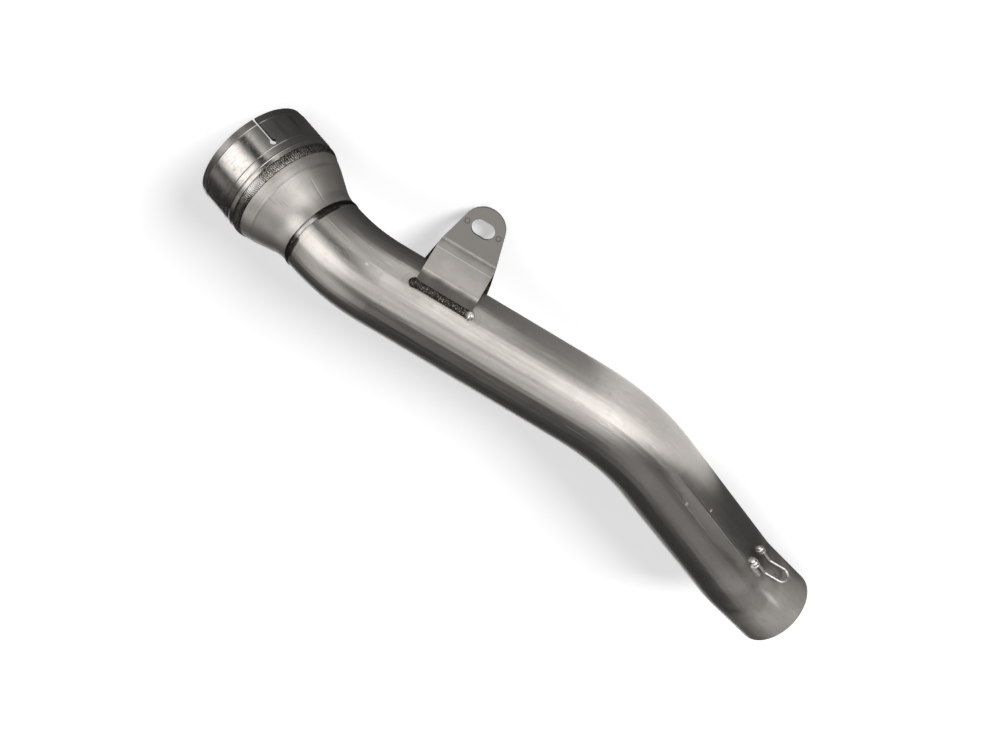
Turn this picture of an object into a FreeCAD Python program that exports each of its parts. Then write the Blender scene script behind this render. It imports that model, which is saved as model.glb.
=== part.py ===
import FreeCAD, Part
import math
import os
from FreeCAD import Matrix, Placement, Rotation, Vector

# A motorcycle link pipe that runs where the catalyst was. Millimetres.
# It is built on a bench frame: the collar's mouth is centred on the origin, the gas flows along +X,
# and a clock angle turns right-handed about the flow, from zero at +Z. Last, it is laid down to rest.

# Bent tube, in the order that a bender makes it
tube_radius = 27.0
tube_wall = 1.5
bend_radius = 102.0
lead_straight = 2.0
first_bend_angle = 25.5
middle_straight = 140.8
second_bend_angle = 35.5
second_bend_clock_angle = -74.0
lower_straight = 104.8
third_bend_angle = 7.0
third_bend_clock_angle = 84.0
outlet_straight = 34.9

# Inlet collar, turned and slit
collar_length = 34.3
collar_radius = 38.5
collar_bore_radius = 36.0
mouth_chamfer = 0.8
rim_edge_break = 0.3
rim_band_width = 5.1
rim_band_taper = 0.5
land_end = 23.4
line_width = 0.7
line_depth = 0.3
slit_count = 4
slit_clock_angle = 111.0
slit_width = 1.6
keyhole_radius = 1.95
keyhole_station = 20.1
keyhole_blend = 2.0

# Reducer cone, spun from sheet
cone_wall = 1.5
cone_large_radius = 37.45
entry_angle = 11.0
flank_angle = 22.5
shoulder_radius = 60.0
neck_radius = 28.0
neck_straight = 2.15

# Weld beads round the pipe
collar_weld_width = 6.2
collar_weld_crown = 0.55
collar_weld_root = 1.1
cone_weld_width = 3.6
cone_weld_crown = 0.35
cone_weld_root = 1.0

# Bracket: two bent plates, back to back at the slot and spread over the tube
plate_thickness = 1.5
plate_bend_radius = 2.5
bracket_station = 36.8
bracket_clock_angle = 64.0
slot_height = 61.7
slot_length = 15.0
slot_width = 10.0
eye_radius = 13.5
eye_taper = 15.0
front_leg_width = 38.0
back_foot_width = 45.6
spread_height = 45.4
foot_height = 28.5
foot_spread = 20.5
spot_distance = 10.7
spot_radius = 1.6
spot_depth = 0.2
bracket_bead_radius = 3.3
bracket_bead_overhang = 1.2

# Spring hook: one wire bent to a U that stands off the tube
wire_radius = 1.0
hook_clock_angle = 107.0
hook_setback = 1.8
hook_half_width = 4.7
hook_foot_length = 13.9
hook_lift_angle = 37.4
hook_lift_bend = 3.0
hook_leg_length = 9.4
hook_bead_radius = 2.0
hook_bead_length = 7.6
hook_bead_overhang = 0.4
side_bead_radius = 1.6
side_bead_length = 11.0
side_bead_distance = 8.1

x_axis = Vector(1, 0, 0)
y_axis = Vector(0, 1, 0)
z_axis = Vector(0, 0, 1)
origin = Vector(0, 0, 0)


def shift(x, y, z):
    return Placement(Vector(x, y, z), Rotation())


def turn(axis, degrees):
    return Placement(origin, Rotation(axis, degrees))


def placed(shape, frame):
    copy = shape.copy()
    copy.Placement = frame.multiply(copy.Placement)
    return copy


def after_bend(frame, angle, clock, radius):
    """The frame at the end of a bend towards a clock angle, with no twist about the flow."""
    about_centre = shift(0, 0, radius).multiply(turn(y_axis, -angle)).multiply(shift(0, 0, -radius))
    return frame.multiply(turn(x_axis, clock)).multiply(about_centre).multiply(turn(x_axis, -clock))


def sweep(section, frame, moves):
    """A section in the YZ plane, carried along straights and bends, and the frame where it ends."""
    runs = []
    for move in moves:
        if len(move) == 1:
            runs.append(placed(section.extrude(x_axis * move[0]), frame))
            frame = frame.multiply(shift(move[0], 0, 0))
        else:
            angle, clock, radius = move
            start = frame.multiply(turn(x_axis, clock))
            untwisted = placed(section, turn(x_axis, -clock))
            runs.append(placed(untwisted.revolve(Vector(0, 0, radius), y_axis, -angle), start))
            frame = after_bend(frame, angle, clock, radius)
    return runs[0].multiFuse(runs[1:]), frame


def disc(radius):
    return Part.Face(Part.Wire(Part.makeCircle(radius, origin, x_axis)))


def ring(outer, inner):
    return disc(outer).cut(disc(inner)).Faces[0]


def turned(points_and_edges):
    """A solid of revolution about the flow axis, from a closed outline in the XZ plane."""
    return Part.Face(Part.Wire(points_and_edges)).revolve(origin, x_axis, 360)


def line(start, end):
    return Part.makeLine(start, end)


def arc(start, middle, end):
    return Part.Arc(start, middle, end).toShape()


def closed_polygon(points):
    return Part.makePolygon(points + [points[0]]).Edges


# Reducer cone


def cone_points(inset):
    """Corners and arc middles of the cone's side, moved inwards from its outer face."""
    middle_angle = (entry_angle + flank_angle) / 2
    slopes = [entry_angle, middle_angle, flank_angle, flank_angle, flank_angle / 2, 0.0]
    shoulder_drop = shoulder_radius * (cosine(entry_angle) - cosine(flank_angle))
    neck_drop = neck_radius * (1 - cosine(flank_angle))
    flank_drop = cone_large_radius - tube_radius - shoulder_drop - neck_drop
    shoulder_centre = Vector(collar_length - shoulder_radius * sine(entry_angle), 0, 0)
    shoulder_centre.z = cone_large_radius - shoulder_radius * cosine(entry_angle)
    flank_end = shoulder_centre + normal(flank_angle) * shoulder_radius
    flank_end += Vector(flank_drop / math.tan(math.radians(flank_angle)), 0, -flank_drop)
    neck_centre = flank_end + normal(flank_angle) * neck_radius
    points = [shoulder_centre + normal(slope) * (shoulder_radius - inset) for slope in slopes[:3]]
    points += [neck_centre - normal(slope) * (neck_radius + inset) for slope in slopes[3:]]
    return points


def sine(degrees):
    return math.sin(math.radians(degrees))


def cosine(degrees):
    return math.cos(math.radians(degrees))


def normal(slope):
    """Outward direction of a side that falls towards the axis at this slope."""
    return Vector(sine(slope), 0, cosine(slope))


def cone_joint_station():
    return cone_points(0)[-1].x + neck_straight


def cone_core(inset, overrun):
    """All that lies inside the cone's side, with its ends run past by the overrun."""
    entry, shoulder, flank_start, flank_end, neck, neck_end = cone_points(inset)
    mouth = entry - Vector(cosine(entry_angle), 0, -sine(entry_angle)) * overrun
    tail = neck_end + x_axis * (neck_straight + overrun)
    side = [arc(entry, shoulder, flank_start), line(flank_start, flank_end)]
    side += [arc(flank_end, neck, neck_end), line(neck_end, tail)]
    side.append(line(tail, Vector(tail.x, 0, 0)))
    side.append(line(Vector(tail.x, 0, 0), Vector(mouth.x, 0, 0)))
    side.append(line(Vector(mouth.x, 0, 0), mouth))
    if overrun > 0:
        side.append(line(mouth, entry))
    return turned(Part.__sortEdges__(side))


def make_cone():
    return cone_core(0, 0).cut(cone_core(cone_wall, 3 * cone_wall))


# Inlet collar


def collar_outline():
    """Half section: tapered rim, clamp land between two turned lines, and a tail down to the cone."""
    rim_radius = collar_radius - rim_band_taper
    tail_run = (collar_radius - cone_large_radius) / math.tan(math.radians(entry_angle))
    outline = [(0, collar_bore_radius + mouth_chamfer), (0, rim_radius - rim_edge_break)]
    outline.append((rim_edge_break, rim_radius))
    for station in (rim_band_width, land_end):
        outline.append((station - line_width / 2, collar_radius))
        outline.append((station, collar_radius - line_depth))
        outline.append((station + line_width / 2, collar_radius))
    outline.append((collar_length - tail_run, collar_radius))
    outline.append((collar_length, cone_large_radius))
    outline.append((collar_length, collar_bore_radius))
    outline.append((mouth_chamfer, collar_bore_radius))
    return [Vector(x, 0, z) for x, z in outline]


def keyhole_slit():
    """One slit from the rim, which flares into its round end, standing out along +Z."""
    half = slit_width / 2
    reach = math.sqrt((keyhole_radius + keyhole_blend) ** 2 - (half + keyhole_blend) ** 2)
    centre = Vector(keyhole_station, 0, 0)
    edges = []
    touches = []
    for side in (1, -1):
        blend_centre = Vector(keyhole_station - reach, side * (half + keyhole_blend), 0)
        towards = (centre - blend_centre).normalize()
        touch = blend_centre + towards * keyhole_blend
        start = Vector(blend_centre.x, side * half, 0)
        middle = blend_centre + (towards + Vector(0, -side, 0)).normalize() * keyhole_blend
        edges.append(line(Vector(-slit_width, side * half, 0), start))
        edges.append(arc(start, middle, touch))
        touches.append(touch)
    edges.append(arc(touches[0], centre + x_axis * keyhole_radius, touches[1]))
    edges.append(line(Vector(-slit_width, -half, 0), Vector(-slit_width, half, 0)))
    outline = Part.Face(Part.Wire(Part.__sortEdges__(edges)))
    floor = collar_bore_radius / 2
    return placed(outline.extrude(z_axis * (2 * collar_radius - floor)), shift(0, 0, floor))


def make_collar():
    collar = turned(closed_polygon(collar_outline()))
    slit = keyhole_slit()
    for number in range(slit_count):
        collar = collar.cut(placed(slit, turn(x_axis, slit_clock_angle + number * 360.0 / slit_count)))
    return collar


# Weld rings


def weld_ring(joint, left, right, crown, root):
    """A crowned bead in a V that reaches below the joint, from a toe on its left to one on its right."""
    middle = (left + right) / 2
    top = Vector(middle.x, 0, max(left.z, right.z, middle.z + crown))
    bottom = joint - z_axis * root
    return turned([arc(left, top, right), line(right, bottom), line(bottom, left)])


def make_collar_weld():
    joint = Vector(collar_length, 0, cone_large_radius)
    half = collar_weld_width / 2
    left = joint + Vector(-half, 0, half * math.tan(math.radians(entry_angle)))
    shoulder_centre = cone_points(shoulder_radius)[0]
    run = collar_length + half - shoulder_centre.x
    right = shoulder_centre + Vector(run, 0, math.sqrt(shoulder_radius ** 2 - run ** 2))
    return weld_ring(joint, left, right, collar_weld_crown, collar_weld_root)


def make_cone_weld():
    joint = Vector(cone_joint_station(), 0, tube_radius)
    half = x_axis * (cone_weld_width / 2)
    return weld_ring(joint, joint - half, joint + half, cone_weld_crown, cone_weld_root)


# Bracket


def bent_sheet(points, thickness, inside_radius):
    """Face of a bent sheet in the YZ plane: one side on the points, the other to their left."""
    sides = [Vector(0, y, z) for y, z in points]
    directions = [(after - before).normalize() for before, after in zip(sides, sides[1:])]
    lefts = [Vector(0, -direction.z, direction.y) for direction in directions]
    other = [sides[0] + lefts[0] * thickness]
    for number, corner in enumerate(sides[1:-1]):
        half = (lefts[number] + lefts[number + 1]).normalize()
        other.append(corner + half * (thickness / half.dot(lefts[number])))
    other.append(sides[-1] + lefts[-1] * thickness)
    near = rounded(sides, inside_radius, thickness, 1)
    far = rounded(other, inside_radius, thickness, -1)
    caps = [line(sides[0], other[0]), line(sides[-1], other[-1])]
    return Part.Face(Part.Wire(Part.__sortEdges__(near + far + caps)))


def rounded(corners, inside_radius, thickness, side):
    """Edges along the corners with a tangent arc at each, wider on the outside of the bend."""
    edges = []
    start = corners[0]
    for before, corner, after in zip(corners, corners[1:], corners[2:]):
        arriving = (corner - before).normalize()
        leaving = (after - corner).normalize()
        turn_left = arriving.y * leaving.z - arriving.z * leaving.y > 0
        outside = turn_left if side > 0 else not turn_left
        radius = inside_radius + (thickness if outside else 0)
        half_angle = arriving.getAngle(leaving) / 2
        setback = radius * math.tan(half_angle)
        inward = (leaving - arriving).normalize()
        middle = corner + inward * (radius / math.cos(half_angle) - radius)
        edges.append(line(start, corner - arriving * setback))
        edges.append(arc(corner - arriving * setback, middle, corner + leaving * setback))
        start = corner + leaving * setback
    edges.append(line(start, corners[-1]))
    return edges


def foot_junction_height():
    """Height over the tube's axis at which the outer face of a foot meets the tube."""
    return math.sqrt(tube_radius ** 2 - foot_spread ** 2)


def plate_outline(foot_half_width, straight_leg):
    """Front view of a plate: a round eye, tapered cheeks, then the leg down past its foot."""
    side_x = eye_radius * cosine(eye_taper)
    side_z = slot_height + eye_radius * sine(eye_taper)
    fall = math.tan(math.radians(eye_taper))
    if straight_leg:
        knee = Vector(foot_half_width, 0, side_z - (foot_half_width - side_x) / fall)
    else:
        knee = Vector(side_x + (side_z - spread_height) * fall, 0, spread_height)
    widening = (foot_half_width - knee.x) / (knee.z - foot_junction_height())
    bottom = Vector(knee.x + widening * knee.z, 0, 0)
    right = [Vector(side_x, 0, side_z), knee, bottom]
    left = [Vector(-point.x, 0, point.z) for point in reversed(right)]
    edges = Part.makePolygon(right + left).Edges
    edges.append(arc(left[-1], Vector(0, 0, slot_height + eye_radius), right[0]))
    return Part.Face(Part.Wire(Part.__sortEdges__(edges)))


def slot_cutter():
    half = (slot_length - slot_width) / 2
    radius = slot_width / 2
    depth = 4 * plate_thickness
    middle = Part.makeBox(2 * half, depth, slot_width, Vector(-half, -depth / 2, -radius))
    ends = [Part.makeCylinder(radius, depth, Vector(x, -depth / 2, 0), y_axis) for x in (-half, half)]
    return placed(middle.multiFuse(ends).removeSplitter(), shift(0, 0, slot_height))


def make_plate(side, foot_half_width, straight_leg):
    """One bent plate in the bracket frame, on the side of the slot plane that the sign gives."""
    path = [(side * foot_spread, tube_radius / 2), (side * foot_spread, foot_height)]
    path.append((side * plate_thickness, spread_height))
    path.append((side * plate_thickness, slot_height + 2 * eye_radius))
    if side > 0:
        profile = bent_sheet(path, plate_thickness, plate_bend_radius)
    else:
        profile = bent_sheet([(-y, z) for y, z in path], plate_thickness, plate_bend_radius)
        profile = profile.mirror(origin, y_axis)
    blank_width = 2 * foot_half_width + 2 * plate_thickness
    blank = placed(profile.extrude(x_axis * blank_width), shift(-blank_width / 2, 0, 0))
    reach = foot_spread + 2 * plate_thickness
    outline = plate_outline(foot_half_width, straight_leg)
    cutter = placed(outline.extrude(y_axis * (2 * reach)), shift(0, -reach, 0))
    tube_body = Part.makeCylinder(tube_radius, blank_width, Vector(-blank_width / 2, 0, 0), x_axis)
    plate = blank.common(cutter).cut(slot_cutter()).cut(tube_body)
    for spot_x in (-spot_distance, spot_distance):
        mark = Part.makeCylinder(spot_radius, plate_thickness, Vector(spot_x, 0, slot_height), y_axis)
        offset = plate_thickness - spot_depth if side > 0 else spot_depth - 2 * plate_thickness
        plate = plate.cut(placed(mark, shift(0, offset, 0)))
    return plate


def make_foot_bead(side, foot_half_width, plate):
    """A fillet bead along the outside of one foot, which wraps round the edges of its plate."""
    half = foot_half_width + bracket_bead_overhang - bracket_bead_radius
    reach = half + 2 * bracket_bead_radius
    along_foot = shift(0, side * foot_spread, foot_junction_height())
    rod = placed(rod_with_round_ends(bracket_bead_radius, half), along_foot)
    inner_face = foot_spread - plate_thickness
    inside = Part.makeBox(2 * reach, 2 * inner_face, slot_height, Vector(-reach, -inner_face, 0))
    tube_body = Part.makeCylinder(tube_radius, 2 * reach, Vector(-reach, 0, 0), x_axis)
    return rod.cut(inside).cut(tube_body).cut(plate)


def rod_with_round_ends(radius, half_length):
    rod = Part.makeCylinder(radius, 2 * half_length, Vector(-half_length, 0, 0), x_axis)
    ends = [Part.makeSphere(radius, Vector(x, 0, 0)) for x in (-half_length, half_length)]
    return rod.multiFuse(ends)


# Spring hook


def hook_wire_height():
    return math.sqrt((tube_radius + wire_radius) ** 2 - hook_half_width ** 2)


def make_hook():
    """The wire from one foot, up, round the loop and down to the other foot."""
    lift = (hook_lift_angle, 0.0, hook_lift_bend)
    moves = [(hook_foot_length,), lift, (hook_leg_length,), (180.0, 90.0, hook_half_width)]
    moves += [(hook_leg_length,), lift, (hook_foot_length,)]
    start = shift(-hook_foot_length, hook_half_width, hook_wire_height())
    wire, end = sweep(disc(wire_radius), start, moves)
    return wire


def make_hook_bead(side, hook):
    """The blob that holds one foot of the hook, and covers the end of its wire."""
    half = hook_bead_length / 2 - hook_bead_radius
    middle = hook_bead_length / 2 - hook_foot_length - hook_bead_overhang
    blob = rod_with_round_ends(hook_bead_radius, half)
    blob = placed(blob, shift(middle, side * hook_half_width, hook_wire_height() - wire_radius / 2))
    reach = 2 * hook_foot_length
    tube_body = Part.makeCylinder(tube_radius, reach, Vector(-reach, 0, 0), x_axis)
    return blob.cut(hook).cut(tube_body)


def make_side_bead(foot_bead):
    """A straight smooth bead on the tube, beside the left foot and as far along as the foot goes."""
    half = side_bead_length / 2 - side_bead_radius
    height = math.sqrt(tube_radius ** 2 - side_bead_distance ** 2)
    rod = rod_with_round_ends(side_bead_radius, half)
    rod = placed(rod, shift(-side_bead_length / 2, -side_bead_distance, height))
    reach = 2 * hook_foot_length
    tube_body = Part.makeCylinder(tube_radius, reach, Vector(-reach, 0, 0), x_axis)
    return rod.cut(tube_body).cut(foot_bead)


# Rest: the pipe lies on the collar's rim, the outlet's rim and the round eye of the bracket


def lowest_on_circle(centre, axis, radius, up):
    down = up * -1
    across = down - axis * down.dot(axis)
    return centre + across.normalize() * radius


def resting_turn(circles, outlet):
    """Rotation that lays the three circles on the floor, with the outlet towards +X."""
    up = Vector(0.28, 0.36, -0.89)
    for step in range(60):
        rim, eye, outlet_rim = [lowest_on_circle(*circle, up) for circle in circles]
        facing = (eye - rim).cross(outlet_rim - rim).normalize()
        up = facing if facing.dot(up) > 0 else facing * -1
    ahead = (outlet - up * outlet.dot(up)).normalize()
    beside = up.cross(ahead)
    turned_to = Matrix()
    turned_to.A = [*ahead, 0, *beside, 0, *up, 0, 0, 0, 0, 1]
    return Placement(turned_to)


def direction(frame, axis):
    return frame.Rotation.multVec(axis)


def pipe_frames():
    """Frames along the flow: where the tube starts, under the bracket, at the hook and at the outlet."""
    tube_start = shift(cone_joint_station(), 0, 0)
    bends = tube_bends()
    after_first = after_bend(tube_start.multiply(shift(lead_straight, 0, 0)), *bends[0])
    after_second = after_bend(after_first.multiply(shift(middle_straight, 0, 0)), *bends[1])
    after_third = after_bend(after_second.multiply(shift(lower_straight, 0, 0)), *bends[2])
    under_bracket = after_first.multiply(shift(bracket_station, 0, 0))
    at_hook = after_second.multiply(shift(lower_straight - hook_setback, 0, 0))
    frames = {"tube": tube_start, "outlet": after_third.multiply(shift(outlet_straight, 0, 0))}
    frames["bracket"] = under_bracket.multiply(turn(x_axis, bracket_clock_angle))
    frames["hook"] = at_hook.multiply(turn(x_axis, hook_clock_angle))
    return frames


def tube_bends():
    first = (first_bend_angle, 0.0, bend_radius)
    second = (second_bend_angle, second_bend_clock_angle, bend_radius)
    third = (third_bend_angle, third_bend_clock_angle, bend_radius)
    return [first, second, third]


def make_tube(start):
    first, second, third = tube_bends()
    moves = [(lead_straight,), first, (middle_straight,), second, (lower_straight,), third]
    moves.append((outlet_straight,))
    return sweep(ring(tube_radius, tube_radius - tube_wall), start, moves)[0]


def make_duct(tube_start):
    """The four welded lengths and rings that the gas runs through, and the tube."""
    collar_weld = make_collar_weld()
    cone_weld = make_cone_weld()
    duct = {"inlet_collar": make_collar().cut(collar_weld), "collar_weld": collar_weld}
    duct["reducer_cone"] = make_cone().cut(collar_weld).cut(cone_weld)
    duct["cone_weld"] = cone_weld
    duct["main_tube"] = make_tube(tube_start).cut(cone_weld)
    return duct


def make_bracket():
    feet = (("front", -1, front_leg_width / 2, True), ("back", 1, back_foot_width / 2, False))
    bracket = {}
    for name, side, foot_half_width, straight_leg in feet:
        plate = make_plate(side, foot_half_width, straight_leg)
        bracket["bracket_" + name + "_plate"] = plate
        bracket["bracket_" + name + "_weld"] = make_foot_bead(side, foot_half_width, plate)
    return bracket


def make_hook_and_beads():
    hook = make_hook()
    pieces = {"spring_hook": hook}
    for name, side in (("left", -1), ("right", 1)):
        pieces["hook_" + name + "_weld"] = make_hook_bead(side, hook)
    pieces["hook_side_bead"] = make_side_bead(pieces["hook_left_weld"])
    return pieces


def floor_circles(frames):
    """Centre, axis and radius of the three round edges that the pipe rests on."""
    mouth = (x_axis * rim_edge_break, x_axis, collar_radius - rim_band_taper)
    eye_centre = frames["bracket"].multVec(Vector(0, plate_thickness, slot_height))
    eye = (eye_centre, direction(frames["bracket"], y_axis), eye_radius)
    outlet = (frames["outlet"].Base, direction(frames["outlet"], x_axis), tube_radius)
    return [mouth, eye, outlet]


def make_pieces(frames):
    """All pieces on the bench, the bracket and the hook carried to their places on the tube."""
    pieces = make_duct(frames["tube"])
    for name, shape in make_bracket().items():
        pieces[name] = placed(shape, frames["bracket"])
    for name, shape in make_hook_and_beads().items():
        pieces[name] = placed(shape, frames["hook"])
    return pieces


def bench_to_floor(pieces, laid):
    """The laid pieces moved so that the middle of their underside is the origin."""
    resting = Part.makeCompound([placed(shape, laid) for shape in pieces.values()])
    box = resting.optimalBoundingBox(False, False)
    print("box", [round(size, 2) for size in (box.XLength, box.YLength, box.ZLength)])
    return shift(-box.Center.x, -box.Center.y, -box.ZMin).multiply(laid)


def write_pieces():
    os.makedirs("parts", exist_ok=True)
    frames = pipe_frames()
    pieces = make_pieces(frames)
    bench = bench_to_floor(pieces, resting_turn(floor_circles(frames), frames["outlet"].Base))
    for name, shape in pieces.items():
        piece = placed(shape, bench).Solids[0]
        piece.exportStep("parts/" + name + ".step")
        print(name, len(shape.Solids), "solid, valid", piece.isValid(), "volume", round(piece.Volume, 1))
    print("bench to floor", [round(value, 6) for value in bench.toMatrix().A])
    for name, frame in frames.items():
        on_floor = bench.multiply(frame)
        print(name, "at", [round(value, 3) for value in on_floor.Base])
        print(name, "flow", [round(value, 5) for value in direction(on_floor, x_axis)])
        print(name, "out", [round(value, 5) for value in direction(on_floor, z_axis)])


write_pieces()
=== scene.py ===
import bpy
import math
from mathutils import Matrix, Vector, noise


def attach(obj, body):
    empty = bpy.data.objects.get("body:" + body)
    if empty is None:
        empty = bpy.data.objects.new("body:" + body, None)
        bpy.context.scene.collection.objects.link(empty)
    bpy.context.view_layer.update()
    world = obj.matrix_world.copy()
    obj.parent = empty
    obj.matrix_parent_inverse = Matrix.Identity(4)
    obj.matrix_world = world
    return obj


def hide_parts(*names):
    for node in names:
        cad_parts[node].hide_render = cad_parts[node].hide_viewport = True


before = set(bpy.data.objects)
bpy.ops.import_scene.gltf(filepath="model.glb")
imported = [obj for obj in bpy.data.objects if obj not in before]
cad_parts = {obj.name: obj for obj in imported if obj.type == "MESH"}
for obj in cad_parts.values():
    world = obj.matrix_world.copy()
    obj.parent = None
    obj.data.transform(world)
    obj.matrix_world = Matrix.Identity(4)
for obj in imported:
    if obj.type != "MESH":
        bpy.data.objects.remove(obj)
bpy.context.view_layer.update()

print("frame loaded")

# Places on the pipe: a point on its axis, the way the gas flows and the way clock zero points, in metres.
# Stations along an axis, heights over it and radii are in millimetres, in the pipe's own measure.
millimetre = 0.001
mouthPlace = {
    "at": (-0.219413, -0.029351, 0.036349),
    "flow": (0.89662, 0.33963, 0.28412), "out": (0.37904, -0.25697, -0.88899)}
bracketPlace = {
    "at": (-0.075576, 0.014807, 0.055914),
    "flow": (0.97246, 0.19592, -0.12627), "out": (-0.22499, 0.64744, -0.72815)}
hookPlace = {
    "at": (0.181084, -0.013506, 0.031830),
    "flow": (0.91245, -0.40608, -0.05034), "out": (0.39719, 0.90854, -0.12961)}

# The three bends: where each starts, how far it turns, the clock angle it turns to and its radius
bends = ({"Start": 72.4, "Angle": 25.5, "Clock": 0.0, "Radius": 102.0},
         {"Start": 258.6, "Angle": 35.5, "Clock": -74.0, "Radius": 102.0},
         {"Start": 426.6, "Angle": 7.0, "Clock": 84.0, "Radius": 102.0})


def placeMatrix(place):
    # Local x runs with the flow, z points at the clock's zero, and the unit stays the metre
    flow = Vector(place["flow"]).normalized()
    side = Vector(place["out"]).cross(flow).normalized()
    axes = Matrix((flow, side, flow.cross(side))).transposed()
    return Matrix.LocRotScale(Vector(place["at"]), axes.to_quaternion(), None)


def addObject(name, data):
    made = bpy.data.objects.new(name, data)
    bpy.context.scene.collection.objects.link(made)
    return made


# Shader helpers


def setInputs(tree, node, values):
    # A value is a plain one, or the output of another node
    for name, value in values.items():
        if isinstance(value, bpy.types.NodeSocket):
            tree.links.new(value, node.inputs[name])
        else:
            node.inputs[name].default_value = value


def addNode(tree, kind, values=None, **settings):
    node = tree.nodes.new(kind)
    for name, value in settings.items():
        setattr(node, name, value)
    setInputs(tree, node, values or {})
    return node


def calc(tree, operation, *values, clamp=False):
    values = dict(enumerate(values))
    return addNode(tree, "ShaderNodeMath", values, operation=operation, use_clamp=clamp).outputs[0]


def addUp(tree, first, *others):
    for other in others:
        first = calc(tree, "ADD", first, other)
    return first


def less(tree, value, amount):
    return calc(tree, "SUBTRACT", value, amount)


def scaledBy(tree, value, amount):
    return calc(tree, "MULTIPLY", value, amount)


def shareOf(tree, value, whole):
    return calc(tree, "DIVIDE", value, whole)


def offFrom(tree, value, place):
    # How far a value is from a place, on either side of it
    return calc(tree, "ABSOLUTE", less(tree, value, place))


def squares(tree, first, second):
    return addUp(tree, scaledBy(tree, first, first), scaledBy(tree, second, second))


def fade(tree, value, low, high, atLow=0.0, atHigh=1.0):
    # Eases from one level to another between two limits
    values = {"Value": value, "From Min": low, "From Max": high, "To Min": atLow, "To Max": atHigh}
    return addNode(tree, "ShaderNodeMapRange", values, interpolation_type="SMOOTHSTEP").outputs[0]


def blendValues(tree, factor, first, second):
    return addNode(tree, "ShaderNodeMix", {0: factor, 2: first, 3: second}).outputs[0]


def blendColours(tree, factor, first, second, mode="MIX"):
    # Inputs 6 and 7 and output 2 are the mix node's colour sockets
    values = {0: factor, 6: first, 7: second}
    return addNode(tree, "ShaderNodeMix", values, data_type="RGBA", blend_type=mode).outputs[2]


def overlaid(tree, colour, mask, amount, over):
    return blendColours(tree, scaledBy(tree, mask, amount), colour, over)


def objectPoint(tree):
    return addNode(tree, "ShaderNodeTexCoord").outputs["Object"]


def localPoint(tree, point, place):
    # The point in the axes of a place on the pipe, in millimetres
    matrix = placeMatrix(place)
    values = {"Vector": point, "Location": matrix.translation, "Rotation": matrix.to_euler(),
              "Scale": (millimetre, millimetre, millimetre)}
    return addNode(tree, "ShaderNodeMapping", values, vector_type="TEXTURE").outputs[0]


def turnedAbout(tree, point, degrees, back=False):
    # The point turned about the axis of the pipe, so that the clock angle given comes to local z
    angle = scaledBy(tree, degrees, math.radians(1 if back else -1))
    values = {"Vector": point, "Angle": angle}
    return addNode(tree, "ShaderNodeVectorRotate", values, rotation_type="X_AXIS").outputs[0]


def splitPoint(tree, point):
    return addNode(tree, "ShaderNodeSeparateXYZ", {0: point}).outputs


def noiseField(tree, point, scale, detail=3.0, roughness=0.55, distortion=0.0):
    values = {"Vector": point, "Scale": scale, "Detail": detail, "Roughness": roughness,
              "Distortion": distortion}
    return addNode(tree, "ShaderNodeTexNoise", values).outputs[0]


def wanderField(tree, point, reach, scale, detail=3.0, roughness=0.6):
    # Noise about zero, which tears an edge or makes a distance uneven
    return scaledBy(tree, less(tree, noiseField(tree, point, scale, detail, roughness), 0.5), reach)


def bumped(tree, height, strength, depth, over=None):
    values = {"Height": height, "Strength": strength, "Distance": depth}
    if over is not None:
        values["Normal"] = over
    return addNode(tree, "ShaderNodeBump", values).outputs[0]


# Node groups that the finishes share
floatIn = "NodeSocketFloat"
vectorIn = "NodeSocketVector"
colourIn = "NodeSocketColor"


def newGroup(name, inputs, outputs):
    group = bpy.data.node_groups.new(name, "ShaderNodeTree")
    for title, kind, value in inputs:
        socket = group.interface.new_socket(title, in_out="INPUT", socket_type=kind)
        if value is not None:
            socket.default_value = value
    for title, kind in outputs:
        group.interface.new_socket(title, in_out="OUTPUT", socket_type=kind)
    return group, group.nodes.new("NodeGroupInput").outputs, group.nodes.new("NodeGroupOutput")


def useGroup(tree, group, values):
    node = tree.nodes.new("ShaderNodeGroup")
    node.node_tree = group
    setInputs(tree, node, values)
    return node.outputs


def makeBendGroup():
    # Lays one bend of the pipe straight: what lies past its start is turned back about its centre
    inputs = [("Point", vectorIn, None), ("Start", floatIn, 0.0), ("Angle", floatIn, 30.0),
              ("Clock", floatIn, 0.0), ("Radius", floatIn, 100.0)]
    group, given, out = newGroup("straightenedBend", inputs, [("Point", vectorIn)])
    split = splitPoint(group, turnedAbout(group, given["Point"], given["Clock"]))
    ahead = less(group, split["X"], given["Start"])
    arm = less(group, given["Radius"], split["Z"])
    turn = calc(group, "MINIMUM", calc(group, "ARCTAN2", ahead, arm), calc(group, "RADIANS", given["Angle"]))
    turn = calc(group, "MAXIMUM", turn, 0.0)
    sine, cosine = calc(group, "SINE", turn), calc(group, "COSINE", turn)
    past = less(group, scaledBy(group, ahead, cosine), scaledBy(group, arm, sine))
    reach = addUp(group, scaledBy(group, ahead, sine), scaledBy(group, arm, cosine))
    station = addUp(group, given["Start"], past, scaledBy(group, turn, given["Radius"]))
    values = {0: station, 1: split["Y"], 2: less(group, given["Radius"], reach)}
    straight = addNode(group, "ShaderNodeCombineXYZ", values).outputs[0]
    setInputs(group, out, {"Point": turnedAbout(group, straight, given["Clock"], back=True)})
    return group


def makePipePointGroup():
    # Any point of the pipe as if the pipe were straight: x is the station, y and z the section
    bendGroup = makeBendGroup()
    group, given, out = newGroup("alongPipe", [("Point", vectorIn, None)], [("Point", vectorIn)])
    point = localPoint(group, given["Point"], mouthPlace)
    for bend in bends:
        point = useGroup(group, bendGroup, {"Point": point, **bend})["Point"]
    setInputs(group, out, {"Point": point})
    return group


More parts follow.
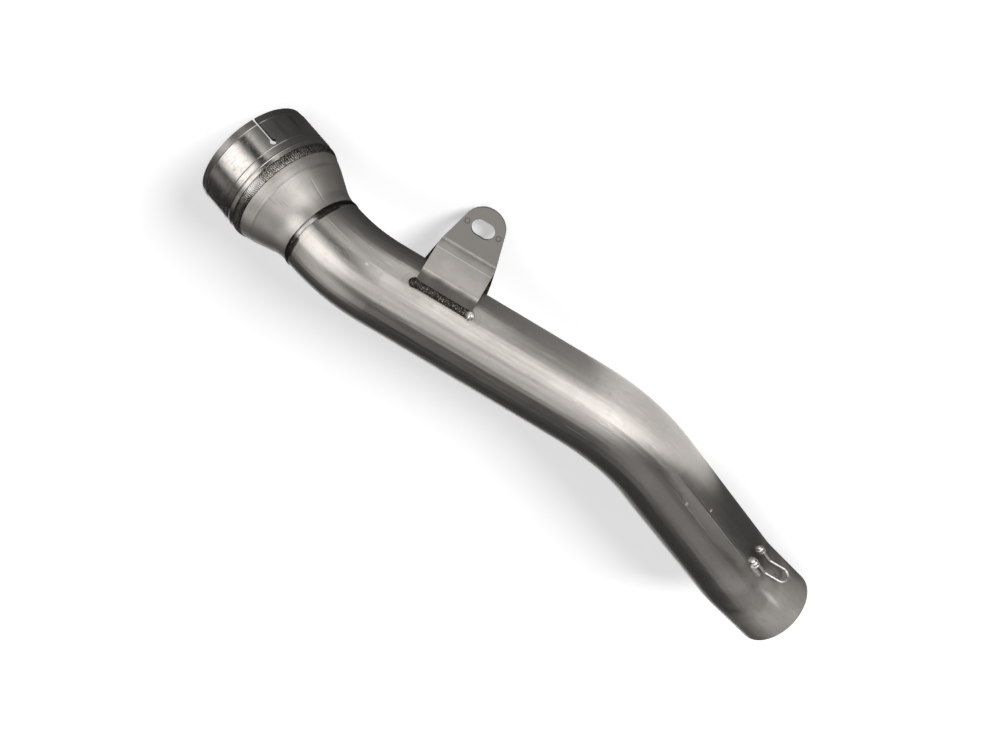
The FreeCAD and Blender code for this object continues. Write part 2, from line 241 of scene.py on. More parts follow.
# A noise has its scale, then its detail, roughness and distortion where they matter. What is made of one
# comes up between the two levels of its edge. A wander also has, before these, how far it reaches.
drawing = {"fine": (2.4, 4.0, 0.7), "broad": (0.5, 2.0), "fineShare": 0.65, "broadShare": 0.35,
           "ripple": (0.17, 1.0), "scratch": (3.1, 0.0), "scratchEdge": (0.67, 0.75),
           "scratchPatch": (0.045, 1.0), "patchEdge": (0.40, 0.55)}
blotching = {"patch": (1.0, 3.0, 0.5, 0.4), "patchEdge": (0.3, 0.7),
             "stain": (7.0, 4.0, 0.6), "stainEdge": (0.56, 0.72)}
wanders = {"mark": (0.9, 0.6), "tint": (7.0, 0.22), "spot": (1.0, 0.9, 2.0, 0.55)}


def makeGrainGroup():
    # Fine drawn grain, stretched by the scale it is given, a few longer scratches, and slow ripples
    inputs = [("Point", vectorIn, None), ("Stretch", vectorIn, (1, 1, 1))]
    outputs = [("Grain", floatIn), ("Scratches", floatIn), ("Ripples", floatIn)]
    group, given, out = newGroup("drawnGrain", inputs, outputs)
    values = {0: given["Point"], 1: given["Stretch"]}
    point = addNode(group, "ShaderNodeVectorMath", values, operation="MULTIPLY").outputs[0]
    fine = scaledBy(group, noiseField(group, point, *drawing["fine"]), drawing["fineShare"])
    broad = scaledBy(group, noiseField(group, point, *drawing["broad"]), drawing["broadShare"])
    sparse = fade(group, noiseField(group, point, *drawing["scratch"]), *drawing["scratchEdge"])
    patch = noiseField(group, given["Point"], *drawing["scratchPatch"])
    patch = fade(group, patch, *drawing["patchEdge"])
    setInputs(group, out, {
        "Grain": addUp(group, fine, broad), "Scratches": scaledBy(group, sparse, patch),
        "Ripples": noiseField(group, point, *drawing["ripple"])})
    return group


def makeBlotchGroup():
    # Slow patches of handling and heat over a surface, and small stains
    inputs = [("Point", vectorIn, None), ("Size", floatIn, 40.0)]
    group, given, out = newGroup("blotches", inputs, [("Patches", floatIn), ("Stains", floatIn)])
    values = {0: given["Point"], "Scale": shareOf(group, 1.0, given["Size"])}
    point = addNode(group, "ShaderNodeVectorMath", values, operation="SCALE").outputs[0]
    setInputs(group, out, {
        "Patches": fade(group, noiseField(group, point, *blotching["patch"]), *blotching["patchEdge"]),
        "Stains": fade(group, noiseField(group, point, *blotching["stain"]), *blotching["stainEdge"])})
    return group


def makeMarkGroup():
    # A long or round mark at a station and clock angle: one in its middle and zero outside its torn edge
    inputs = [("Point", vectorIn, None), ("Station", floatIn, 0.0), ("Clock", floatIn, 0.0),
              ("Half Length", floatIn, 5.0), ("Half Width", floatIn, 5.0), ("Soft", floatIn, 0.4),
              ("Wobble", floatIn, 0.0), ("Squareness", floatIn, 2.0)]
    group, given, out = newGroup("mark", inputs, [("Mark", floatIn)])
    split = splitPoint(group, turnedAbout(group, given["Point"], given["Clock"]))
    power = given["Squareness"]
    along = shareOf(group, offFrom(group, split["X"], given["Station"]), given["Half Length"])
    aside = shareOf(group, calc(group, "ABSOLUTE", split["Y"]), given["Half Width"])
    total = addUp(group, calc(group, "POWER", along, power), calc(group, "POWER", aside, power))
    distance = addUp(group, calc(group, "POWER", total, shareOf(group, 1.0, power)), given["Wobble"])
    mark = fade(group, distance, less(group, 1.0, given["Soft"]), 1.0, 1.0, 0.0)
    nearSide = calc(group, "GREATER_THAN", split["Z"], 0.0)
    setInputs(group, out, {"Mark": scaledBy(group, mark, nearSide)})
    return group


def makeBeadDistanceGroup():
    # How far a point lies from a bead that runs along the pipe, and very far on the pipe's other side
    inputs = [("Point", vectorIn, None), ("Station", floatIn, 0.0), ("Clock", floatIn, 0.0),
              ("Half Length", floatIn, 5.0)]
    group, given, out = newGroup("beadDistance", inputs, [("Distance", floatIn)])
    split = splitPoint(group, turnedAbout(group, given["Point"], given["Clock"]))
    along = offFrom(group, split["X"], given["Station"])
    past = calc(group, "MAXIMUM", less(group, along, given["Half Length"]), 0.0)
    distance = calc(group, "SQRT", squares(group, past, split["Y"]))
    otherSide = scaledBy(group, calc(group, "LESS_THAN", split["Z"], 0.0), 100.0)
    setInputs(group, out, {"Distance": addUp(group, distance, otherSide)})
    return group


# Heat tints by how near the joint is, as a share of their reach. Each multiplies the colour of the metal.
heatTints = ((0.16, (0.80, 0.79, 0.79, 1)), (0.34, (0.96, 0.95, 0.93, 1)),
             (0.55, (0.86, 0.83, 0.79, 1)), (0.78, (0.64, 0.60, 0.57, 1)))
jointTint = (0.40, 0.34, 0.30, 1)


def makeTintGroup():
    # Heat colour beside a weld, by the distance from it: pale, then straw, brown and dark at the joint
    inputs = [("Base", colourIn, (0.5, 0.5, 0.5, 1)), ("Distance", floatIn, 10.0),
              ("Reach", floatIn, 6.0), ("Strength", floatIn, 0.5)]
    group, given, out = newGroup("heatTint", inputs, [("Colour", colourIn)])
    nearness = calc(group, "SUBTRACT", 1.0, shareOf(group, given["Distance"], given["Reach"]), clamp=True)
    ramp = addNode(group, "ShaderNodeValToRGB", {0: nearness})
    stops = ramp.color_ramp.elements
    stops[0].color = (1, 1, 1, 1)
    stops[1].color = jointTint
    for nearTo, tint in heatTints:
        stops.new(nearTo).color = tint
    heated = blendColours(group, 1.0, given["Base"], ramp.outputs[0], "MULTIPLY")
    setInputs(group, out, {"Colour": blendColours(group, given["Strength"], given["Base"], heated)})
    return group


pipePointGroup = makePipePointGroup()
grainGroup = makeGrainGroup()
blotchGroup = makeBlotchGroup()
markGroup = makeMarkGroup()
beadGroup = makeBeadDistanceGroup()
tintGroup = makeTintGroup()


def newMaterial(name):
    material = bpy.data.materials.new(name)
    material.use_nodes = True
    return material, material.node_tree, material.node_tree.nodes["Principled BSDF"]


def pipePoint(tree):
    return useGroup(tree, pipePointGroup, {"Point": objectPoint(tree)})["Point"]


def placedMark(tree, point, mark, wander):
    station, clock = mark["at"]
    length, width = mark["half"]
    values = {"Point": point, "Station": station, "Clock": clock, "Half Length": length, "Half Width": width,
              "Soft": mark["soft"], "Wobble": scaledBy(tree, wander, mark["ragged"]),
              "Squareness": mark.get("square", 2.0)}
    return useGroup(tree, markGroup, values)["Mark"]


def addMarks(tree, point, colour, roughness, marks):
    # Each mark blends its own colour in and changes how rough the metal is there
    wander = wanderField(tree, point, *wanders["mark"])
    for mark in marks.values():
        mask = placedMark(tree, point, mark, wander)
        colour = overlaid(tree, colour, mask, mark["amount"], mark["colour"])
        if mark["rough"]:
            roughness = addUp(tree, roughness, scaledBy(tree, mask, mark["rough"]))
    return colour, roughness


def tinted(tree, colour, distance, reach, strength):
    values = {"Base": colour, "Distance": distance, "Reach": reach, "Strength": strength}
    return useGroup(tree, tintGroup, values)["Colour"]


def addTints(tree, point, colour, beads):
    wander = wanderField(tree, point, *wanders["tint"])
    for bead in beads.values():
        station, clock = bead["at"]
        values = {"Point": point, "Station": station, "Clock": clock, "Half Length": bead["half"]}
        distance = addUp(tree, useGroup(tree, beadGroup, values)["Distance"], wander)
        colour = tinted(tree, colour, distance, bead["reach"], bead["tint"])
    return colour


# Colours that several pieces share
black = (0.05, 0.045, 0.04, 1)
dim = (0.26, 0.238, 0.214, 1)
pale = (0.62, 0.587, 0.55, 1)
silver = (0.85, 0.83, 0.8, 1)
bright = (0.9, 0.88, 0.86, 1)
glint = (0.95, 0.93, 0.9, 1)

# Main tube: satin stainless with drawn grain, a faint seam band down its lower half and heat marks.
# A mark has its station and clock angle, half its length and width, the share of it that fades out,
# how torn its edge is, how much of its colour comes through and what it adds to the roughness.
# The ripples of the bending change between two stations, from one level to another.
mainTube = {
    "base": (0.50, 0.473, 0.443, 1), "patch": (0.45, 0.425, 0.397, 1), "patchSize": 34.0,
    "stain": (0.34, 0.305, 0.27, 1), "stainAmount": 0.35,
    "scratch": (0.8, 0.785, 0.765, 1), "scratchAmount": 0.4, "stretch": (0.03, 1.0, 1.0),
    "roughness": 0.22, "grainRough": 0.10, "patchRough": 0.06,
    "grainHeight": 0.5, "scratchHeight": 0.8, "relief": 0.09, "reliefDepth": 0.0004,
    "rippleDepth": 0.0010, "ripplesFrom": (95.0, 150.0, 0.25, 1.0), "ripplesTo": (215.0, 265.0, 1.0, 0.4),
    "neckWeld": 70.4, "neckReach": 6.0, "neckTint": 0.5,
    "haze": {"at": (464, 118), "half": (62, 44), "soft": 0.9, "ragged": 0.4,
             "metallic": -0.17, "rough": 0.15},
    "marks": {
        # Two dark dashes beside the neck weld, which the cone has too
        "neckDarkDash": {"at": (71.0, 106), "half": (2.9, 9.5), "soft": 0.22, "ragged": 0.15, "square": 6.0,
                     "amount": 0.95, "colour": black, "rough": 0.1},
        "neckDarkDashLow": {"at": (71.0, 176), "half": (2.9, 9.5), "soft": 0.22, "ragged": 0.15, "square": 6.0,
                        "amount": 0.95, "colour": black, "rough": 0.1},
        "seamBand": {"at": (362, 135), "half": (62, 5.4), "soft": 0.5, "ragged": 0.9,
                     "amount": 0.33, "colour": pale, "rough": 0.12},
        "seamEdge": {"at": (364, 126.2), "half": (56, 0.42), "soft": 0.6, "ragged": 0.5,
                     "amount": 0.7, "colour": black, "rough": 0.0},
        "seamGlint": {"at": (380, 127.6), "half": (36, 0.22), "soft": 0.6, "ragged": 0.5,
                      "amount": 0.8, "colour": bright, "rough": 0.1},
        "seamFar": {"at": (352, 144.2), "half": (46, 0.35), "soft": 0.6, "ragged": 0.5,
                    "amount": 0.5, "colour": silver, "rough": 0.1},
        "seamTick": {"at": (358.8, 121.6), "half": (0.9, 1.5), "soft": 0.5, "ragged": 0.6,
                     "amount": 1.0, "colour": glint, "rough": 0.2},
        "seamCorner": {"at": (341, 142), "half": (1.8, 1.3), "soft": 0.6, "ragged": 0.8,
                       "amount": 0.7, "colour": silver, "rough": 0.2},
        "bendLine": {"at": (83, 113.6), "half": (12, 0.24), "soft": 0.5, "ragged": 0.4,
                     "amount": 0.6, "colour": silver, "rough": 0.1},
        "bendLineFar": {"at": (93, 103), "half": (8, 0.22), "soft": 0.5, "ragged": 0.4,
                        "amount": 0.5, "colour": silver, "rough": 0.1},
        "shortLine": {"at": (117.3, 108.4), "half": (4, 0.24), "soft": 0.5, "ragged": 0.3,
                      "amount": 0.7, "colour": silver, "rough": 0.1},
        "paleSpot": {"at": (107.8, 124.9), "half": (1.5, 1.2), "soft": 0.9, "ragged": 0.5,
                     "amount": 0.7, "colour": bright, "rough": 0.1},
        "longScratch": {"at": (263.5, 173.6), "half": (11, 0.2), "soft": 0.5, "ragged": 0.4,
                        "amount": 0.9, "colour": glint, "rough": 0.1},
        "outletStreak": {"at": (446, 134), "half": (13, 2.6), "soft": 0.9, "ragged": 0.7,
                         "amount": 0.75, "colour": (0.80, 0.78, 0.77, 1), "rough": 0.12},
        "hookStain": {"at": (413, 112), "half": (11, 11), "soft": 0.6, "ragged": 0.7,
                      "amount": 0.55, "colour": dim, "rough": 0.0},
        "loopFleck": {"at": (439.5, 104.4), "half": (1.1, 0.6), "soft": 0.5, "ragged": 1.0,
                      "amount": 0.9, "colour": black, "rough": 0.0}},
    "tints": {
        "frontFoot": {"at": (154.6, 113.4), "half": 19.0, "reach": 8.0, "tint": 0.55},
        "backFoot": {"at": (154.6, 14.6), "half": 22.8, "reach": 8.0, "tint": 0.55},
        "hookFeet": {"at": (413.5, 107.0), "half": 3.0, "reach": 11.0, "tint": 0.5}}}


def makeTubeMaterial(tube):
    material, tree, shader = newMaterial("tubeSatin")
    point = pipePoint(tree)
    station = splitPoint(tree, point)["X"]
    drawn = useGroup(tree, grainGroup, {"Point": point, "Stretch": tube["stretch"]})
    blotches = useGroup(tree, blotchGroup, {"Point": point, "Size": tube["patchSize"]})
    colour = blendColours(tree, blotches["Patches"], tube["base"], tube["patch"])
    colour = overlaid(tree, colour, blotches["Stains"], tube["stainAmount"], tube["stain"])
    colour = overlaid(tree, colour, drawn["Scratches"], tube["scratchAmount"], tube["scratch"])
    roughness = addUp(tree, tube["roughness"], scaledBy(tree, drawn["Grain"], tube["grainRough"]),
                      scaledBy(tree, blotches["Patches"], tube["patchRough"]))
    colour, roughness = addMarks(tree, point, colour, roughness, tube["marks"])
    colour = addTints(tree, point, colour, tube["tints"])
    fromNeck = offFrom(tree, station, tube["neckWeld"])
    colour = tinted(tree, colour, fromNeck, tube["neckReach"], tube["neckTint"])
    # The ripples of the bending are strong in the middle of the tube and faint towards the outlet
    ripples = scaledBy(tree, drawn["Ripples"], fade(tree, station, *tube["ripplesFrom"]))
    ripples = scaledBy(tree, ripples, fade(tree, station, *tube["ripplesTo"]))
    rippled = bumped(tree, ripples, 1.0, tube["rippleDepth"])
    height = less(tree, scaledBy(tree, drawn["Grain"], tube["grainHeight"]),
                  scaledBy(tree, drawn["Scratches"], tube["scratchHeight"]))
    haze = placedMark(tree, point, tube["haze"], less(tree, blotches["Patches"], 0.5))
    setInputs(tree, shader, {
        "Base Color": colour, "Metallic": addUp(tree, 1.0, scaledBy(tree, haze, tube["haze"]["metallic"])),
        "Roughness": addUp(tree, roughness, scaledBy(tree, haze, tube["haze"]["rough"])),
        "Normal": bumped(tree, height, tube["relief"], tube["reliefDepth"], over=rippled)})
    return material


# Turned collar and spun cone: fine rings about their axis. A ring has its station and half its width,
# the share of it that is flat, how much of its colour comes through, its height and its roughness.
# A weld has its station and how far its tint reaches.
inletCollar = {
    "base": (0.54, 0.511, 0.478, 1), "patch": (0.42, 0.397, 0.372, 1), "patchSize": 16.0,
    "stain": (0.24, 0.22, 0.20, 1), "stainAmount": 0.3, "stretch": (1.6, 0.05, 0.05),
    "metallic": 1.0, "roughness": 0.12, "grainRough": 0.10, "relief": 0.25, "reliefDepth": 0.0001,
    "welds": ((34.3, 7.0),), "tint": 0.35,
    "rings": {
        "rimBand": {"station": 2.4, "half": 2.6, "flat": 0.85,
                    "amount": 0.45, "colour": (0.30, 0.285, 0.27, 1), "height": 0.0, "rough": 0.12},
        # The ridge is painted paler as well as raised, a painted highlight along it
        "ridge": {"station": 28.4, "half": 0.6, "flat": 0.0,
                  "amount": 0.3, "colour": (0.8, 0.78, 0.76, 1), "height": 2.2, "rough": 0.0}},
    "marks": {
        # Painted shade over the collar about clock 180
        "paintedShadeSide": {"at": (30, 180), "half": (17, 17), "soft": 0.9, "ragged": 0.6,
                        "amount": 0.75, "colour": (0.10, 0.092, 0.084, 1), "rough": 0.08},
        "darkStreak": {"at": (14, 96), "half": (14, 2.2), "soft": 0.9, "ragged": 0.8,
                       "amount": 0.45, "colour": (0.2, 0.19, 0.18, 1), "rough": 0.1},
        "darkStreakFar": {"at": (12, 78), "half": (12, 3.0), "soft": 0.9, "ragged": 0.8,
                          "amount": 0.5, "colour": (0.16, 0.15, 0.14, 1), "rough": 0.1},
        # A darker patch beside the slit
        "darkerBySlit": {"at": (14, 111), "half": (18, 7), "soft": 0.9, "ragged": 0.5,
                          "amount": 0.3, "colour": (0.26, 0.25, 0.24, 1), "rough": 0.05}}}
reducerCone = {
    "base": (0.51, 0.482, 0.452, 1), "patch": (0.44, 0.416, 0.39, 1), "patchSize": 18.0,
    "stain": (0.34, 0.31, 0.28, 1), "stainAmount": 0.3, "stretch": (0.9, 0.06, 0.06),
    "metallic": 0.94, "roughness": 0.34, "grainRough": 0.10, "relief": 0.25, "reliefDepth": 0.0001,
    "welds": ((34.3, 7.0), (70.4, 4.5)), "tint": 0.35,
    "rings": {
        # The crease is painted a little darker all round, painted shade in it
        "crease": {"station": 44.6, "half": 1.3, "flat": 0.0,
                   "amount": 0.15, "colour": dim, "height": 0.9, "rough": 0.0}},
    "marks": {
        "creaseShade": {"at": (45.2, 84), "half": (1.3, 17), "soft": 0.8, "ragged": 0.5,
                        "amount": 0.55, "colour": dim, "rough": 0.0},
        "seamLine": {"at": (58, 100.5), "half": (11, 0.35), "soft": 0.5, "ragged": 0.8,
                     "amount": 0.7, "colour": silver, "rough": 0.1},
        "seamShade": {"at": (58, 102.5), "half": (11, 1.3), "soft": 0.8, "ragged": 0.6,
                      "amount": 0.4, "colour": dim, "rough": 0.0},
        "scratchOne": {"at": (47.5, 148.6), "half": (5.5, 0.28), "soft": 0.5, "ragged": 0.4,
                       "amount": 0.8, "colour": dim, "rough": 0.0},
        "scratchTwo": {"at": (50.5, 144.5), "half": (4.5, 0.25), "soft": 0.5, "ragged": 0.4,
                       "amount": 0.8, "colour": dim, "rough": 0.0},
        "scratchThree": {"at": (53, 141.5), "half": (4.0, 0.25), "soft": 0.5, "ragged": 0.4,
                         "amount": 0.7, "colour": dim, "rough": 0.0},
        "neckDarkDash": mainTube["marks"]["neckDarkDash"],
        "neckDarkDashLow": mainTube["marks"]["neckDarkDashLow"],
        "neckShade": {"at": (63.5, 76), "half": (4, 17), "soft": 0.8, "ragged": 0.3,
                      "amount": 0.45, "colour": dim, "rough": 0.0}}}


def makeTurnedMaterial(name, piece):
    material, tree, shader = newMaterial(name)
    point = pipePoint(tree)
    station = splitPoint(tree, point)["X"]
    drawn = useGroup(tree, grainGroup, {"Point": point, "Stretch": piece["stretch"]})
    blotches = useGroup(tree, blotchGroup, {"Point": point, "Size": piece["patchSize"]})
    colour = blendColours(tree, blotches["Patches"], piece["base"], piece["patch"])
    colour = overlaid(tree, colour, blotches["Stains"], piece["stainAmount"], piece["stain"])
    roughness = addUp(tree, piece["roughness"], scaledBy(tree, drawn["Grain"], piece["grainRough"]))
    relief = scaledBy(tree, less(tree, drawn["Grain"], drawn["Scratches"]), piece["relief"])
    for ring in piece["rings"].values():
        off = shareOf(tree, offFrom(tree, station, ring["station"]), ring["half"])
        band = fade(tree, off, ring["flat"], 1.0, 1.0, 0.0)
        colour = overlaid(tree, colour, band, ring["amount"], ring["colour"])
        relief = addUp(tree, relief, scaledBy(tree, band, ring["height"]))
        if ring["rough"]:
            roughness = addUp(tree, roughness, scaledBy(tree, band, ring["rough"]))
    colour, roughness = addMarks(tree, point, colour, roughness, piece["marks"])
    for weld, reach in piece["welds"]:
        colour = tinted(tree, colour, offFrom(tree, station, weld), reach, piece["tint"])
    setInputs(tree, shader, {
        "Base Color": colour, "Metallic": piece["metallic"], "Roughness": roughness,
        "Normal": bumped(tree, relief, 1.0, piece["reliefDepth"])})
    return material


# Bracket plates, in the bracket's own place, where z is the height over the axis of the pipe
bracketSheet = {
    # The slot face and the foot are darker copies of the leg's colour: painted shade, the slot face turned
    # down and the foot in the leg's shadow
    "leg": (0.52, 0.492, 0.461, 1), "shadedSlotFace": (0.28, 0.266, 0.25, 1), "foot": (0.13, 0.121, 0.111, 1),
    "footEdge": (25.5, 31.0), "slotFaceEdge": (43.0, 47.5), "edgeWander": 1.4,
    "patchSize": 9.0, "patchAmount": 0.22, "stretch": (0.12, 1.2, 1.2),
    "roughness": 0.30, "grainRough": 0.12, "relief": 0.08, "reliefDepth": 0.0003,
    "scribedLine": {"height": 40.4, "edge": (0.10, 0.28), "amount": 0.5, "colour": glint},
    "spotRings": {"aside": 10.7, "height": 61.7, "radius": 1.55, "edge": (0.10, 0.38),
                  "amount": 0.75, "colour": black}}


def makeSheetMaterial(sheet):
    material, tree, shader = newMaterial("bracketSheet")
    point = localPoint(tree, objectPoint(tree), bracketPlace)
    split = splitPoint(tree, point)
    drawn = useGroup(tree, grainGroup, {"Point": point, "Stretch": sheet["stretch"]})
    patches = useGroup(tree, blotchGroup, {"Point": point, "Size": sheet["patchSize"]})["Patches"]
    raised = addUp(tree, split["Z"], scaledBy(tree, patches, sheet["edgeWander"]))
    # Painted shade: the foot and the slot face get darker colours than the leg
    colour = blendColours(tree, fade(tree, raised, *sheet["footEdge"]), sheet["foot"], sheet["leg"])
    colour = blendColours(tree, fade(tree, raised, *sheet["slotFaceEdge"]), colour, sheet["shadedSlotFace"])
    colour = overlaid(tree, colour, patches, sheet["patchAmount"], dim)
    line = sheet["scribedLine"]
    scribed = fade(tree, offFrom(tree, split["Z"], line["height"]), *line["edge"], 1.0, 0.0)
    colour = overlaid(tree, colour, scribed, line["amount"], line["colour"])
    # One ring each side of the slot, at the same height
    rings = sheet["spotRings"]
    aside = less(tree, calc(tree, "ABSOLUTE", split["X"]), rings["aside"])
    fromSpot = calc(tree, "SQRT", squares(tree, aside, less(tree, split["Z"], rings["height"])))
    ring = fade(tree, offFrom(tree, fromSpot, rings["radius"]), *rings["edge"], 1.0, 0.0)
    colour = overlaid(tree, colour, ring, rings["amount"], rings["colour"])
    setInputs(tree, shader, {
        "Base Color": colour, "Metallic": 1.0,
        "Roughness": addUp(tree, sheet["roughness"], scaledBy(tree, drawn["Grain"], sheet["grainRough"])),
        "Normal": bumped(tree, drawn["Grain"], sheet["relief"], sheet["reliefDepth"])})
    return material


# Beads, blobs and wire. A finish has dark metal with lighter specks, and spots where a highlight or a shade
# is painted in.
# Where it is rippled, the cuts between the ripples are dark.
collarWeld = {
    "left": (31.2, 38.05), "right": (37.4, 36.76), "root": (34.3, 36.35),  # station and radius of its edges
    "crown": 0.62, "pitch": 1.35, "depth": 0.26, "curve": 0.6,
    "finish": {
        "metallic": 1.0, "light": (0.42, 0.40, 0.375, 1), "dark": (0.06, 0.052, 0.046, 1), "roughness": 0.22,
        "speck": 1.15, "share": (0.40, 0.58), "rippled": True,
        "spots": {
            # A painted highlight on the bead about clock 150, and painted shade on it about clock 180
            "paintedHighlight": {"at": (34.3, 150), "half": (9, 7.5), "colour": (0.60, 0.58, 0.56, 1)},
            "paintedShadeSpot": {"at": (34.3, 182), "half": (9, 16), "colour": black}}}}
coneWeld = {
    "left": (68.6, 26.98), "right": (72.2, 26.98), "root": (70.4, 26.0),
    "crown": 0.38, "pitch": 1.1, "depth": 0.14, "curve": 0.32,
    "finish": {
        "metallic": 1.0, "light": (0.20, 0.19, 0.18, 1), "dark": (0.035, 0.03, 0.027, 1), "roughness": 0.30,
        "speck": 0.9, "share": (0.55, 0.72), "rippled": True,
        # A painted highlight on the bead about clock 141, between the two dark dashes
        "spots": {"paintedHighlight": {"at": (70.4, 141), "half": (9, 9.8), "colour": (0.62, 0.59, 0.56, 1)}}}}
footWelds = {
    "corner": (20.5, 17.57), "root": (20.3, 17.2),  # beside and over the axis of the pipe
    "sweep": (-14, 156), "size": 2.7, "sag": 0.16, "thinnest": 0.05,
    "pitch": 1.3, "depth": 0.34, "curve": 1.6, "phaseReach": 0.5, "slowNoise": (0.5, 2),
    "lumps": 0.22, "lumpNoise": (1.4, 6), "lumpSeed": 4,
    "endLength": 3.3, "endCalm": 0.6, "swell": 0.7, "swellFromEnd": 3.0, "swellLength": 2.2,
    "feet": {
        "bracket_front_weld": {"side": -1, "reach": 22.4, "seed": 3.0},
        "bracket_back_weld": {"side": 1, "reach": 24.0, "seed": 8.0}},
    "finish": {
        "metallic": 1.0, "light": (0.34, 0.32, 0.30, 1), "dark": (0.04, 0.035, 0.03, 1), "roughness": 0.26,
        "speck": 1.3, "share": (0.50, 0.66), "rippled": True,
        # A painted highlight on the low end of the front bead
        "spots": {"paintedHighlightLowEnd": {"at": (176.0, 113.4), "half": (4.8, 6), "colour": (0.92, 0.90, 0.87, 1)}}}}
hookWelds = {
    "start": -14.0, "length": 7.2, "height": 27.1, "thinnest": 0.03,
    "dabPitch": 2.7, "dabHeight": 0.24, "lumps": 0.16, "lumpNoise": (0.55, 1.3),
    "feet": {
        "hook_left_weld": {"side": -6.0, "radius": 2.6, "seed": 2.0},
        "hook_right_weld": {"side": 4.7, "radius": 2.3, "seed": 6.0}},
    "finish": {
        "metallic": 0.88, "light": (0.95, 0.93, 0.90, 1), "dark": (0.36, 0.34, 0.32, 1), "roughness": 0.10,
        "speck": 0.7, "share": (0.30, 0.52), "rippled": True, "spots": {}}}
springHook = {
    "finish": {
        "metallic": 0.92, "light": (0.80, 0.785, 0.76, 1), "dark": (0.56, 0.54, 0.52, 1), "roughness": 0.16,
        "speck": 0.5, "share": (0.35, 0.60), "rippled": False, "spots": {}}}
hookSideBead = {
    "finish": {
        "metallic": 0.86, "light": (0.60, 0.575, 0.54, 1), "dark": (0.42, 0.40, 0.375, 1), "roughness": 0.36,
        "speck": 0.6, "share": (0.35, 0.60), "rippled": False, "spots": {}}}
weldSpots = {"soft": 0.5, "ragged": 0.6, "amount": 0.85}
weldPits = {"scale": 1.6, "strength": 0.25, "depth": 0.0003}
cutEdge = (0.10, 0.55)  # ripple levels between which the dark of the cuts fades out
speckNoise, speckRough = (3.0, 0.65), 0.12  # detail and roughness of the noise, and what a speck adds


def makeWeldMaterial(name, piece):
    material, tree, shader = newMaterial(name)
    point = pipePoint(tree)
    finish = piece["finish"]
    specks = fade(tree, noiseField(tree, point, finish["speck"], *speckNoise), *finish["share"])
    colour = blendColours(tree, specks, finish["dark"], finish["light"])
    if finish["rippled"]:
        level = addNode(tree, "ShaderNodeAttribute", attribute_name="ripple").outputs["Fac"]
        colour = blendColours(tree, fade(tree, level, *cutEdge), finish["dark"], colour)
    wander = wanderField(tree, point, *wanders["spot"])
    for spot in finish["spots"].values():
        mask = placedMark(tree, point, {**spot, **weldSpots}, wander)
        colour = overlaid(tree, colour, mask, weldSpots["amount"], spot["colour"])
    pits = noiseField(tree, point, weldPits["scale"])
    setInputs(tree, shader, {
        "Base Color": colour, "Metallic": finish["metallic"],
        "Roughness": addUp(tree, finish["roughness"], scaledBy(tree, specks, speckRough)),
        "Normal": bumped(tree, pits, weldPits["strength"], weldPits["depth"])})
    return material


materials = {
    "tube": makeTubeMaterial(mainTube),
    "collar": makeTurnedMaterial("collarTurned", inletCollar),
    "cone": makeTurnedMaterial("coneSpun", reducerCone),
    "sheet": makeSheetMaterial(bracketSheet),
    "collarWeld": makeWeldMaterial("weldBead", collarWeld),
    "coneWeld": makeWeldMaterial("weldDark", coneWeld),
    "footWeld": makeWeldMaterial("weldFoot", footWelds),
    "hookWeld": makeWeldMaterial("weldBlob", hookWelds),
    "wire": makeWeldMaterial("hookWire", springHook),
    "sideBead": makeWeldMaterial("smoothBead", hookSideBead)}
nodeMaterials = {
    "inlet_collar": "collar", "collar_weld": "collarWeld", "reducer_cone": "cone", "cone_weld": "coneWeld",
    "main_tube": "tube", "bracket_front_plate": "sheet", "bracket_back_plate": "sheet",
    "bracket_front_weld": "footWeld", "bracket_back_weld": "footWeld", "spring_hook": "wire",
    "hook_left_weld": "hookWeld", "hook_right_weld": "hookWeld", "hook_side_bead": "sideBead"}
for name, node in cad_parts.items():
    node.data.materials.clear()
    node.data.materials.append(materials[nodeMaterials[name]])
print("materials made")

# Meshes of the beads and blobs, each in place of its plain solid
stepsPerRipple = 7
ripple = {"crest": 0.7, "roundness": 0.7, "middle": 0.6}  # middle is the level on the round of the bead
ringUneven = {"slowNoise": 9, "edgeNoise": 22, "edgeReach": 0.25, "phaseReach": 0.35, "crownReach": 0.10}
ringEdges = {"left": 1, "right": 5}  # where the noise of each edge is taken, so that the two differ


def skin(name, rows, levels, place, closedAlong=False):
    # A smooth mesh through closed rows of local points, with the ripple level kept at each point
    matrix = placeMatrix(place)
    count = len(rows[0])
    points = [matrix @ (Vector(point) * millimetre) for row in rows for point in row]
    faces = []
    for i in range(len(rows) if closedAlong else len(rows) - 1):
        here, after = i * count, ((i + 1) % len(rows)) * count
        for j in range(count):
            beside = (j + 1) % count
            faces.append((here + j, after + j, after + beside, here + beside))
    mesh = bpy.data.meshes.new(name)
    mesh.from_pydata(points, [], faces)
    kept = mesh.attributes.new("ripple", "FLOAT", "POINT")
    kept.data.foreach_set("value", [level for row in levels for level in row])
    mesh.polygons.foreach_set("use_smooth", [True] * len(faces))
    mesh.update()
    return addObject(name, mesh)


def rippleLevel(phase):
    # One at the crest of a ripple and zero in the cut before the next, which is sharp on one side
    fraction = phase % 1.0
    rise, fall = fraction / ripple["crest"], (1.0 - fraction) / (1.0 - ripple["crest"])
    return min(rise, fall) ** ripple["roundness"]


